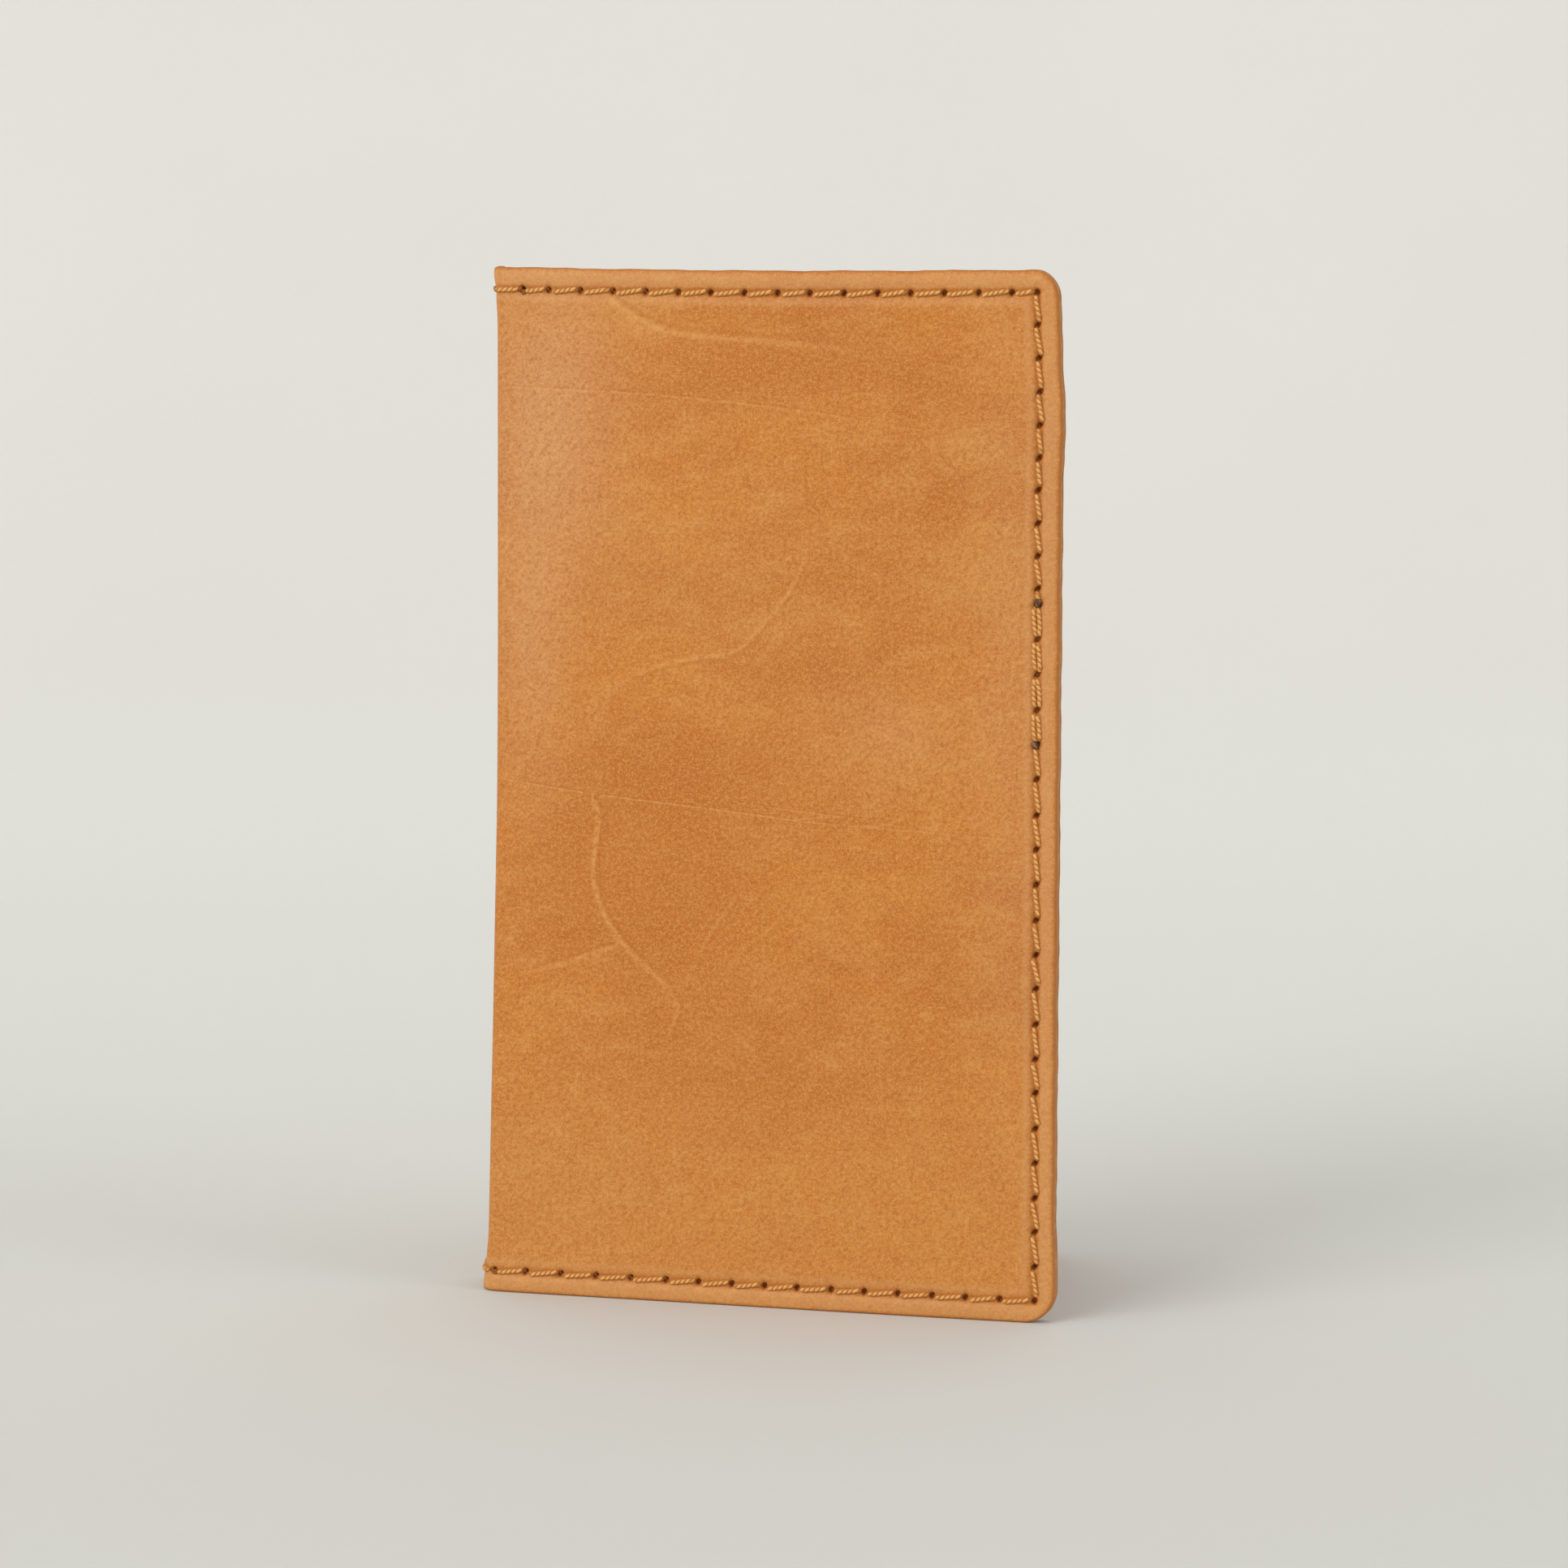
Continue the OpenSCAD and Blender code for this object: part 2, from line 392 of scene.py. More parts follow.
def patch_field(side, s, z):
    """Uneven lighter, darker and pinkish patches, as three channels; on the front, painted light from below
    and a pinkish painted highlight along the fold.
    """
    u = s - along(0)

    def blob(centre_u, centre_z, size_u, size_z):
        return bell(np.hypot((u - centre_u) / size_u, (z - centre_z) / size_z), 1.0)

    if side == REAR:
        light = blob(70, 110, 14, 20) + 0.6 * blob(25, 30, 12, 14)
        dark = blob(40, 70, 20, 22)
        pink = 0.5 * blob(8, 120, 7, 40)
    else:
        light = 0.9 * blob(77, 138, 6, 4) + 0.9 * blob(78, 118, 8, 6) + 0.8 * blob(23, 157.5, 5, 3.5)
        # Painted light from below: the front is lighter towards its foot and at its low corner by the fold
        light = light + 0.55 * (1 - smooth(z, 5, 60)) + 0.35 * blob(12, 20, 14, 14)
        light = light + 0.3 * blob(22, 120, 16, 12) + 0.35 * blob(42, 114, 16, 12)
        dark = 0.9 * blob(29, 84, 14, 8) + 0.9 * blob(30, 62, 16, 14) + 0.6 * blob(39, 34, 16, 8)
        dark = dark + 0.9 * blob(48, 150, 26, 6) + 0.35 * blob(30, 8, 26, 6) + 0.5 * blob(12, 72, 8, 12)
        dark = dark + 0.25 * blob(44, 86, 26, 14) + 0.35 * smooth(u, 87.5, 89.5)
        # The first two pinkish patches lie along the fold: a painted highlight where the leather turns
        # towards the key light
        pink = 1.2 * blob(8, 142, 11, 24) + 0.8 * blob(5, 105, 6, 22) + 0.5 * blob(66, 92, 12, 8)
        pink = pink + 0.4 * blob(84, 100, 6, 60)
    return np.stack([light, dark, pink], axis=-1)


# -------------------- meshes


def zip_edges(a, a_share, b, b_share):
    """Triangles between two lines of vertices that run side by side, each with its shares from 0 to 1."""
    faces = []
    i = 0
    j = 0
    while i < len(a) - 1 or j < len(b) - 1:
        step_a = j == len(b) - 1 or (i < len(a) - 1 and a_share[i + 1] <= b_share[j + 1])
        if step_a:
            faces.append((a[i], a[i + 1], b[j]))
            i += 1
        else:
            faces.append((a[i], b[j + 1], b[j]))
            j += 1
    return faces


def grid_quads(index):
    """Quads of a grid of vertex numbers."""
    corners = [index[:-1, :-1], index[:-1, 1:], index[1:, 1:], index[1:, :-1]]
    return np.stack([c.ravel() for c in corners], axis=1).tolist()


def make_mesh(name, points, faces, attributes):
    """A mesh object from points in mm, with named vector attributes on its points."""
    mesh = bpy.data.meshes.new(name)
    mesh.from_pydata((points * MM).tolist(), [], faces)
    work = bmesh.new()
    work.from_mesh(mesh)
    bmesh.ops.recalc_face_normals(work, faces=work.faces)
    work.to_mesh(mesh)
    work.free()
    for key, values in attributes.items():
        layer = mesh.attributes.new(key, "FLOAT_VECTOR", "POINT")
        layer.data.foreach_set("vector", np.asarray(values, np.float32).ravel())
    mesh.polygons.foreach_set("use_smooth", [True] * len(mesh.polygons))
    piece = bpy.data.objects.new(name, mesh)
    bpy.context.scene.collection.objects.link(piece)
    return piece


def sharpen(piece, is_cut):
    """Keeps the shading crisp along the edges whose two ends both satisfy is_cut."""
    mesh = piece.data
    ends = np.zeros(len(mesh.edges) * 2, np.int32)
    mesh.edges.foreach_get("vertices", ends)
    flags = is_cut[ends.reshape(-1, 2)].all(axis=1)
    mesh.edges.foreach_set("use_edge_sharp", flags.tolist())


def leather_solid(name, side, s, z, face_v, back_v, rows, cols, hole_set, mouth=-math.inf):
    """A closed sheet of leather. Its detailed face is the full grid, its back the kept rows and columns.

    Its side towards the spine counts as a cut edge only if mouth gives its distance s.
    """
    face_index = np.arange(s.size).reshape(s.shape)
    back_s = s[np.ix_(rows, cols)]
    back_z = z[np.ix_(rows, cols)]
    back_height = back_v[np.ix_(rows, cols)]
    back_index = s.size + np.arange(back_s.size).reshape(back_s.shape)
    faces = grid_quads(face_index) + grid_quads(back_index)
    row_share = np.linspace(0, 1, s.shape[0])
    col_share = np.linspace(0, 1, s.shape[1])
    for k in (0, -1):
        faces += zip_edges(face_index[k], col_share, back_index[k], col_share[cols])
        faces += zip_edges(face_index[:, k], row_share, back_index[:, k], row_share[rows])
    flat_s = np.concatenate([s.ravel(), back_s.ravel()])
    flat_z = np.concatenate([z.ravel(), back_z.ravel()])
    flat_v = np.concatenate([face_v.ravel(), back_height.ravel()])
    is_back = np.arange(flat_s.size) >= s.size
    rim = [
        np.minimum(edge_distance(flat_s, flat_z), flat_s - mouth),
        seam_distance(side, flat_s, flat_z),
        hole_distance(side, hole_set, flat_s, flat_z),
    ]
    attributes = {
        "flat": np.stack([side * flat_s, flat_z, np.where(is_back, 1.0, 0.0)], axis=1),
        "rim": np.stack(rim, axis=1),
        "mark": mark_field(side, flat_s, flat_z),
        "patch": patch_field(side, flat_s, flat_z),
    }
    piece = make_mesh(name, place(side, flat_s, flat_v, flat_z), faces, attributes)
    return piece, flat_s


# Shares of a gap at which grid lines lie, closer together at holes and at cut edges
STITCH_CELLS = np.array([0, 0.045, 0.1, 0.17, 0.27, 0.38, 0.5, 0.62, 0.73, 0.83, 0.9, 0.955])
ROW_CELLS = np.array([0, 0.05, 0.12, 0.22, 0.35, 0.5, 0.65, 0.78, 0.88, 0.95])
RIM_CELLS = np.array([0, 0.07, 0.16, 0.28, 0.42, 0.56, 0.68, 0.78, 0.86, 0.92, 0.965, 0.99])


def subdivided(knots, cells):
    """Grid lines through the knots, with the same shares of each gap between them."""
    parts = [a + (b - a) * cells for a, b in zip(knots, knots[1:])]
    return np.concatenate(parts + [knots[-1:]])


def every(count, step):
    """Every step-th number below count, and always the last one."""
    return np.unique(np.append(np.arange(0, count, step), count - 1))


def rim_lines(seam, edge):
    """Grid lines from a seam out to an edge, closer together at the edge."""
    return np.append(seam + (edge - seam) * RIM_CELLS, edge)


def corner_outline(q, size):
    """A place on the rounded corner: (0, 0) is the outer corner, and q from 0 to size runs up one side."""
    quarter = CORNER_R * math.pi / 4
    length = q / size * (size - CORNER_R + quarter)
    angle = math.pi / 4 - np.minimum(length, quarter) / CORNER_R
    a = CORNER_R * (1 - np.cos(angle))
    b = CORNER_R * (1 - np.sin(angle)) + np.maximum(length - quarter, 0)
    return a, b


def round_corners(s, z):
    """Moves the grid near the free corners of a half onto their rounded outline."""
    size = CORNER_R + 0.6
    s = s.copy()
    z = z.copy()
    middle = CORNER_R * (1 - math.cos(math.pi / 4))
    for upper in (False, True):
        p = reach - s
        q = wallet_h - z if upper else z
        near = (p < size) & (q < size)
        p = p[near]
        q = q[near]
        a = p / size
        b = q / size
        side_p, side_q = corner_outline(q, size)
        level_q, level_p = corner_outline(p, size)
        new_p = (1 - a) * side_p + a * size + (1 - b) * level_p + b * p
        new_p -= (1 - a) * (1 - b) * middle + a * (1 - b) * size + a * b * size
        new_q = (1 - a) * side_q + a * q + (1 - b) * level_q + b * size
        new_q -= (1 - a) * (1 - b) * middle + (1 - a) * b * size + a * b * size
        s[near] = reach - new_p
        z[near] = wallet_h - new_q if upper else new_q
    return s, z


def row_lines(side):
    """Heights of the grid rows of a half. They pass through the holes along the free edge."""
    low = seam_low - rim_lines(0, seam_low)[::-1]
    return np.concatenate([
        low[:-1],
        subdivided(columns[side], ROW_CELLS)[:-1],
        rim_lines(seam_high, wallet_h),
    ])


def shell_grid(side):
    """Grid of the outer leather of a half, from the middle of the spine to the free edge."""
    def lines(row, corner):
        inner = own_holes(row, side)
        inner[-1] = corner
        knots = np.concatenate([[0.0], inner])
        return np.concatenate([subdivided(knots, STITCH_CELLS)[:-1], rim_lines(corner, reach)])

    z = row_lines(side)
    top = lines(top_row, column_s(side, wallet_h))
    low = lines(low_row, column_s(side, 0.0))
    share = (z / wallet_h)[:, None]
    s = low[None, :] * (1 - share) + top[None, :] * share
    return round_corners(s, np.repeat(z[:, None], s.shape[1], axis=1))


def seam_relief(s):
    """How much of the seam's relief is left: stretching over the fold flattens it."""
    return 0.3 + 0.7 * smooth(s, fold_end - 2, fold_end + 3)


def stitched_face(side, s, z):
    """How far the face of the outer leather lies behind its plane: seam groove, holes and puffed rim."""
    seam = seam_distance(side, s, z)
    hole = hole_distance(side, holes[side], s, z)
    relief = seam_relief(s)
    groove = GROOVE * bell(seam, GROOVE_W)
    rim = -0.14 * bell(seam + 1.8, 1.0)
    pillow = -0.08 * bell(seam - 2.6, 1.6)
    pricked = HOLE_DEPTH * bell(hole, HOLE_W) + 0.12 * bell(hole, 1.3)
    edge = rounding(edge_distance(s, z), EDGE_ROUND)
    return relief * (groove + rim + pillow + pricked) + edge


def shell_half(side):
    """The outer leather of one half with its share of the spine, bending at that half's fold."""
    s, z = shell_grid(side)
    face_v = -shell_face + stitched_face(side, s, z)
    back_v = shell_face - rounding(edge_distance(s, z), BACK_ROUND)
    bend_columns = int(np.searchsorted(s[len(s) // 2], fold_end + 2))
    cols = np.append(np.arange(bend_columns), bend_columns + every(s.shape[1] - bend_columns, 4))
    name = SIDE_NAMES[side] + "_shell_leather"
    piece, flat_s = leather_solid(
        name, side, s, z, face_v, back_v, every(s.shape[0], 4), cols, holes[side]
    )
    sharpen(piece, flat_s < 1e-6)
    return piece


# -------------------- linings and pockets


def panel_bottom(side, index, s, z):
    """Height of the lower face of a lining or pocket. Layers are pinched together at every seam."""
    names = PANELS[side]
    pinched = shell_face + 0.02 + index * (PANEL_T + 0.02)
    lining = panel_tops[names[0]] - PANEL_T
    stacked = lining + index * (PANEL_T + 0.02)
    free = panel_tops[names[index]] - PANEL_T
    if side == REAR:
        free = stacked + (free - stacked) * smooth(np.abs(z - divider_z), 1.5, 11)
    return pinched + (free - pinched) * smooth(edge_distance(s, z), 4.6, 15)


def panel_face(side, index, s, z):
    """Height of the upper face of a lining or pocket, before its own seam and crease detail."""
    mouth = s - along(mouths[PANELS[side][index]])
    curl = 0.12 * bell(mouth, 2.2) * smooth(edge_distance(s, z), 3.5, 9)
    return panel_bottom(side, index, s, z) + PANEL_T + curl


def inside_face(side, s, z):
    """Height of whatever leather is innermost at a place."""
    top = np.full(np.broadcast(s, z).shape, shell_face)
    for index, name in enumerate(PANELS[side]):
        covered = smooth(s - along(mouths[name]), -0.8, 0.2)
        top = top + (panel_face(side, index, s, z) - top) * covered
    return top


def divider_holes():
    """Holes of the seam that parts the two stacks of card pockets."""
    start = along(mouths["card_pocket_1"] + 1.5)
    end = along(cover_w - SEAM_INSET - 3)
    count = round((end - start) / STITCH)
    places = spaced(start, end, count)
    return np.stack([places, np.full(len(places), divider_z), np.zeros(len(places))], axis=1)


divider = divider_holes()


def panel_piece(side, index):
    """One lining or pocket: a thin panel with an open, creased mouth and sewn sides."""
    name = PANELS[side][index]
    mouth = along(mouths[name])
    near_mouth = mouth + np.array([0, 0.04, 0.12, 0.25, 0.5, 0.9, 1.3, 1.6, 1.8, 2.0, 2.2, 2.4, 2.7, 3.2, 4])
    seam = along(cover_w - SEAM_INSET)
    middle = np.linspace(mouth + 5, seam - 2.2, int((seam - mouth) / 1.1))
    near_seam = seam + np.array([-1.6, -1.2, -0.9, -0.6, -0.3])
    line = np.concatenate([near_mouth, middle, near_seam, rim_lines(seam, reach)])
    s, z = round_corners(*np.meshgrid(line, row_lines(side)))
    hole_set = holes[side]
    if side == REAR and index:
        hole_set = np.concatenate([hole_set, divider])
    hole = hole_distance(side, hole_set, s, z)
    from_mouth = s - mouth
    edge = np.minimum(edge_distance(s, z), from_mouth)
    groove = 0.14 * bell(seam_distance(side, s, z), 0.6)
    if side == REAR and index:
        groove = groove + 0.14 * bell(z - divider_z, 0.6)
    crease = 0.13 * bell(from_mouth - 2.0, 0.28)
    pricked = 0.5 * bell(hole, 0.45)
    face_v = panel_face(side, index, s, z) - groove - crease - pricked - rounding(edge, 0.28)
    back_v = panel_bottom(side, index, s, z) + rounding(edge, 0.2)
    keep_rows = every(s.shape[0], 4)
    keep_cols = every(s.shape[1], 3)
    piece, _ = leather_solid(
        name + "_leather", side, s, z, face_v, back_v, keep_rows, keep_cols, hole_set, mouth
    )
    return piece


# -------------------- threads


def stitch_points(side, start, end, surface, rise, slant, offset):
    """Flat path (s, v, z) of one stitch's thread, and how far it has dived into its holes.

    The sign of rise is the way out of the leather: 1 on the inside of the wallet, -1 on the outside.
    """
    start = np.asarray(start, float)
    end = np.asarray(end, float)
    length = math.hypot(*(end - start))
    t = np.linspace(0, 1, max(12, round(length / THREAD_STEP)))
    across = np.array([-(end - start)[1], (end - start)[0]]) / length
    middle = start + t[:, None] * (end - start)
    middle = middle + across * (offset * np.sin(math.pi * t) ** 0.4 + slant * (1 - 2 * t))[:, None]
    travelled = t * length
    ends = rng.uniform(-0.1, 0.15, 2)
    dive = 1 - smooth(np.minimum(travelled - ends[0], length - travelled - ends[1]), 0.35, 1.15)
    s = middle[:, 0]
    z = middle[:, 1]
    v = surface(side, s, z) + rise * (THREAD_RISE - THREAD_DIVE * dive)
    return s, v, z, dive


def twisted_thread(side, path, phase):
    """Points, faces and texture coordinates of a thread of twisted plies along a path."""
    s, v, z, dive = path
    centre = place(side, s, v, z)
    normal = place(side, s, v - 0.2, z) - centre
    if v[len(v) // 2] > 0:
        normal = -normal
    tangent = np.gradient(centre, axis=0)
    tangent /= np.linalg.norm(tangent, axis=1)[:, None]
    normal -= (normal * tangent).sum(axis=1)[:, None] * tangent
    normal /= np.linalg.norm(normal, axis=1)[:, None]
    sideways = np.cross(tangent, normal)
    travelled = np.concatenate([[0], np.cumsum(np.linalg.norm(np.diff(centre, axis=0), axis=1))])
    around = np.linspace(0, 2 * math.pi, PLY_SIDES, endpoint=False)
    ring = PLY_R * (
        np.cos(around)[None, :, None] * normal[:, None, :]
        + np.sin(around)[None, :, None] * sideways[:, None, :]
    )
    # Painted shade where the thread sinks into its holes
    sunk = smooth(dive, 0.05, 0.6)[:, None]
    points = []
    faces = []
    texture = []
    count = len(s)
    for ply in range(PLIES):
        angle = phase - 2 * math.pi * (travelled / PLY_LAY + ply / PLIES)
        axis = centre + PLY_OFFSET * (np.cos(angle)[:, None] * normal + np.sin(angle)[:, None] * sideways)
        points.append((axis[:, None, :] + ring).reshape(-1, 3))
        index = np.arange(count * PLY_SIDES).reshape(count, PLY_SIDES) + ply * count * PLY_SIDES
        index = np.concatenate([index, index[:, :1]], axis=1)
        faces += grid_quads(index)
        faces.append(index[0, :-1].tolist())
        faces.append(index[-1, :-1][::-1].tolist())
        # Painted light: shine is a painted highlight on each ply's crest and painted shade on its sides,
        # darker still where the thread sinks
        crest = smooth(np.cos(angle), 0.5, 1.0)[:, None] * smooth(np.cos(around), 0.1, 0.8)[None, :]
        outer = smooth(np.cos(angle)[:, None] + np.cos(around)[None, :], -0.6, 0.9)
        shine = (0.2 + 0.2 * outer + 0.6 * crest) * (1 - sunk)
        texture.append(np.stack([
            np.repeat(travelled + phase * 3 + ply * 7, PLY_SIDES),
            np.tile(around * PLY_R, count),
            shine.ravel(),
        ], axis=1))
    return np.concatenate(points), faces, np.concatenate(texture)


def thread_piece(name, side, paths):
    """All the stitches of a seam as one object."""
    points = []
    faces = []
    texture = []
    total = 0
    for path in paths:
        own_points, own_faces, own_texture = twisted_thread(side, path, rng.uniform(0, 2 * math.pi))
        points.append(own_points)
        faces += [[total + i for i in face] for face in own_faces]
        texture.append(own_texture)
        total += len(own_points)
    return make_mesh(name, np.concatenate(points), faces, {"fibre": np.concatenate(texture)})


def outer_surface(side, s, z):
    """Floor of the groove on the outside. It takes the same arguments as inner_surface."""
    return -shell_face + GROOVE * seam_relief(s)


def inner_surface(side, s, z):
    """Floor of the groove on the inside."""
    return inside_face(side, s, z) - 0.14


def row_stitches(side, row, z):
    """Stitches of a level row that belong to one half, as pairs of (s, z). The front takes the middle one."""
    pairs = []
    for a, b in zip(row, row[1:]):
        middle = (a + b) / 2
        crosses = a < 0 < b
        mine = side == FRONT if crosses else middle * side > 0
        if mine:
            pairs.append(((side * a, z), (side * b, z)))
    return pairs


def column_stitches(side):
    """Stitches along the free edge of one half, from the top down."""
    z = columns[side][::-1]
    return [((float(column_s(side, a)), a), (float(column_s(side, b)), b)) for a, b in zip(z, z[1:])]


def seam_paths(side, surface, rise):
    """Paths of every stitch of one half on the given face."""
    paths = []
    for z in (seam_high, seam_low):
        row = top_row if z == seam_high else low_row
        for start, end in row_stitches(side, row, z):
            on_spine = min(abs(start[0]), abs(end[0])) < spine_flat
            slant = side * rng.normal(ROW_SLANT, 0.05) * (0.3 if on_spine else 1)
            drop = -0.06 if start[0] < end[0] else 0.06
            paths.append(stitch_points(side, start, end, surface, rise, slant, drop))
    last_double = columns[FRONT][BELOW_BACKTACK - BACKTACK_STITCHES]
    for start, end in column_stitches(side):
        slant = side * rng.normal(COLUMN_SLANT, 0.06)
        doubled = side == FRONT and start[1] < BACKTACK_Z + 0.1 and end[1] > last_double - 0.1
        if doubled:
            for offset in (-TWIN_OFFSET, TWIN_OFFSET):
                twin = side * rng.normal(0.2, 0.08)
                paths.append(stitch_points(side, start, end, surface, rise, twin, offset))
        else:
            paths.append(stitch_points(side, start, end, surface, rise, slant, 0.14))
    return paths


def divider_paths():
    """Stitches between the two stacks of card pockets."""
    pairs = zip(divider[:-1, :2], divider[1:, :2])
    return [stitch_points(REAR, a, b, inner_surface, 1, rng.normal(0, 0.05), 0) for a, b in pairs]


def thread_tails():
    """The melted ends of the perimeter thread, at both ends of its overlap."""
    tails = []
    top = BACKTACK_Z + 0.15
    low = columns[FRONT][BELOW_BACKTACK - BACKTACK_STITCHES]
    for z, lean in ((top, 0.35), (low, -0.3)):
        s = float(column_s(FRONT, z)) + lean * np.linspace(0.2, 1, 9)
        height = -shell_face + 0.45 - 0.7 * np.sin(np.linspace(0.2, 2.3, 9))
        tails.append((s, height, z + np.linspace(-0.3, 0.25, 9), np.zeros(9)))
    return thread_piece("front_thread_ends", FRONT, tails)


# -------------------- materials


def srgb(red, green, blue):
    """Linear colour with alpha from 8-bit sRGB values."""
    def channel(value):
        value /= 255
        return value / 12.92 if value <= 0.04045 else ((value + 0.055) / 1.055) ** 2.4

    return (channel(red), channel(green), channel(blue), 1.0)


class Graph:
    """Short calls that add and link a material's nodes."""

    def __init__(self, name):
        self.material = bpy.data.materials.new(name)
        self.material.use_nodes = True
        self.tree = self.material.node_tree
        self.shader = self.tree.nodes["Principled BSDF"]

    def put(self, socket, value):
        """Sets a socket, or links it if the value is another node's output."""
        if isinstance(value, bpy.types.NodeSocket):
            self.tree.links.new(value, socket)
        else:
            socket.default_value = value

    def node(self, kind, inputs, settings=None):
        made = self.tree.nodes.new(kind)
        for key, value in (settings or {}).items():
            setattr(made, key, value)
        for key, value in inputs.items():
            self.put(made.inputs[key], value)
        return made

    def attribute(self, name):
        """The three channels of a point attribute, and its vector."""
        made = self.node("ShaderNodeAttribute", {}, {"attribute_name": name})
        parts = self.node("ShaderNodeSeparateXYZ", {0: made.outputs["Vector"]})
        return made.outputs["Vector"], parts.outputs[0], parts.outputs[1], parts.outputs[2]

    def math(self, operation, a, b=0.0, c=0.0):
        inputs = {0: a, 1: b, 2: c}
        return self.node("ShaderNodeMath", inputs, {"operation": operation}).outputs[0]

    def ramp(self, value, low, high, to_low=0.0, to_high=1.0):
        """A smooth step of value from low to high."""
        inputs = {"Value": value, "From Min": low, "From Max": high, "To Min": to_low, "To Max": to_high}
        settings = {"interpolation_type": "SMOOTHSTEP"}
        return self.node("ShaderNodeMapRange", inputs, settings).outputs[0]

    def mix(self, factor, a, b):
        """Colour a turned into colour b by factor."""
        settings = {"data_type": "RGBA"}
        return self.node("ShaderNodeMix", {0: factor, 6: a, 7: b}, settings).outputs[2]

    def stretch(self, vector, scale, turn_by=0.0):
        """Texture coordinates turned about the face's normal and scaled."""
        settings = {"vector_type": "POINT"}
        turned = self.node("ShaderNodeMapping", {"Vector": vector, "Rotation": (0, 0, turn_by)}, settings)
        inputs = {"Vector": turned.outputs[0], "Scale": scale}
        return self.node("ShaderNodeMapping", inputs, settings).outputs[0]

    def noise(self, vector, scale, detail=2.0, roughness=0.5, distortion=0.0):
        inputs = {"Vector": vector, "Scale": scale, "Detail": detail, "Roughness": roughness}
        inputs["Distortion"] = distortion
        return self.node("ShaderNodeTexNoise", inputs).outputs[0]

    def cells(self, vector, scale):
        """Distance to the nearest of scattered points."""
        return self.node("ShaderNodeTexVoronoi", {"Vector": vector, "Scale": scale}).outputs[0]

    def bump(self, height, distance, strength=1.0, under=None):
        inputs = {"Height": height, "Distance": distance, "Strength": strength}
        if under is not None:
            inputs["Normal"] = under
        return self.node("ShaderNodeBump", inputs).outputs[0]

    def finish(self, colour, roughness, normal, specular):
        self.put(self.shader.inputs["Base Color"], colour)
        self.put(self.shader.inputs["Roughness"], roughness)
        self.put(self.shader.inputs["Normal"], normal)
        self.shader.inputs["Specular IOR Level"].default_value = specular
        return self.material


def hide_colour(g, flat, main, dark, light):
    """The broad, uneven tone of the hide: clouds, drifts, mottling, and patches, with painted light from
    below and a painted highlight along the fold.
    """
    _, lighter, darker, pinkish = g.attribute("patch")
    clouds = g.noise(g.stretch(flat, (0.022, 0.04, 0.04)), 1.0, 3.0, 0.55, 0.3)
    drifts = g.noise(g.stretch(flat, (0.09, 0.15, 0.1), 0.2), 1.0, 4.0, 0.6, 0.2)
    mottle = g.noise(g.stretch(flat, (0.22, 0.34, 0.3), 0.15), 1.0, 3.0, 0.65)
    colour = g.mix(g.ramp(clouds, 0.36, 0.64), dark, main)
    colour = g.mix(g.math("MULTIPLY", g.ramp(drifts, 0.4, 0.7), 0.42), colour, light)
    colour = g.mix(g.ramp(mottle, 0.5, 0.72, 0.0, 0.6), colour, light)
    colour = g.mix(g.ramp(mottle, 0.28, 0.5, 0.6, 0.0), colour, dark)
    colour = g.mix(g.math("MULTIPLY", darker, 0.85), colour, dark)
    colour = g.mix(g.math("MULTIPLY", lighter, 0.7), colour, light)
    return g.mix(g.math("MULTIPLY", pinkish, 0.7), colour, srgb(219, 160, 104))


def add_grain(g, flat, colour, fleck_light, fleck_dark):
    """Fine diagonal grain, specks and pores over a colour. Gives the new colour and the grain's height."""
    streaks = g.noise(g.stretch(flat, (1.2, 0.5, 1.0), -0.55), 1.0, 4.0, 0.75)
    grain = g.noise(flat, 1.5, 5.0, 0.8)
    specks = g.noise(flat, 3.2, 2.0, 0.8)
    pores = g.cells(g.stretch(flat, (0.95, 0.8, 1.0), -0.5), 1.0)
    speckle = g.noise(flat, 0.9, 2.0, 0.6)
    colour = g.mix(g.ramp(streaks, 0.36, 0.6, 0.36, 0.0), colour, fleck_dark)
    colour = g.mix(g.ramp(grain, 0.44, 0.66, 0.0, 0.45), colour, fleck_light)
    colour = g.mix(g.ramp(grain, 0.34, 0.52, 0.4, 0.0), colour, fleck_dark)
    colour = g.mix(g.ramp(specks, 0.48, 0.7, 0.0, 0.5), colour, fleck_light)
    colour = g.mix(g.ramp(specks, 0.3, 0.48, 0.4, 0.0), colour, fleck_dark)
    pore_mask = g.math("MULTIPLY", g.ramp(pores, 0.08, 0.42, 1.0, 0.0), g.ramp(speckle, 0.38, 0.6))
    colour = g.mix(g.math("MULTIPLY", pore_mask, 0.45), colour, fleck_dark)
    height = g.math("MULTIPLY_ADD", pore_mask, -0.3, g.math("MULTIPLY", grain, 0.6))
    return colour, height


def add_wear_and_groove_shade(g, edge_d, seam_d, colour, worn, edge):
    """Rubbed leather beside the seam, painted shade in the seam groove, and a darker burnished edge."""
    # Between the seam and the edge the leather is stretched, and its wax is rubbed off
    rim_mask = g.math("MULTIPLY", g.ramp(seam_d, -1.0, -0.5, 1.0, 0.0), g.ramp(edge_d, 0.1, 0.9))
    colour = g.mix(g.math("MULTIPLY", rim_mask, 0.4), colour, worn)
    beside = g.math("ABSOLUTE", g.math("SUBTRACT", seam_d, 1.4))
    colour = g.mix(g.ramp(beside, 0.0, 1.1, 0.3, 0.0), colour, worn)
    # Painted shade: the seam groove is darkened towards the edge colour
    colour = g.mix(g.ramp(g.math("ABSOLUTE", seam_d), 0.2, 0.85, 0.3, 0.0), colour, edge)
    return g.mix(g.ramp(edge_d, 0.0, 0.5, 0.8, 0.0), colour, edge)


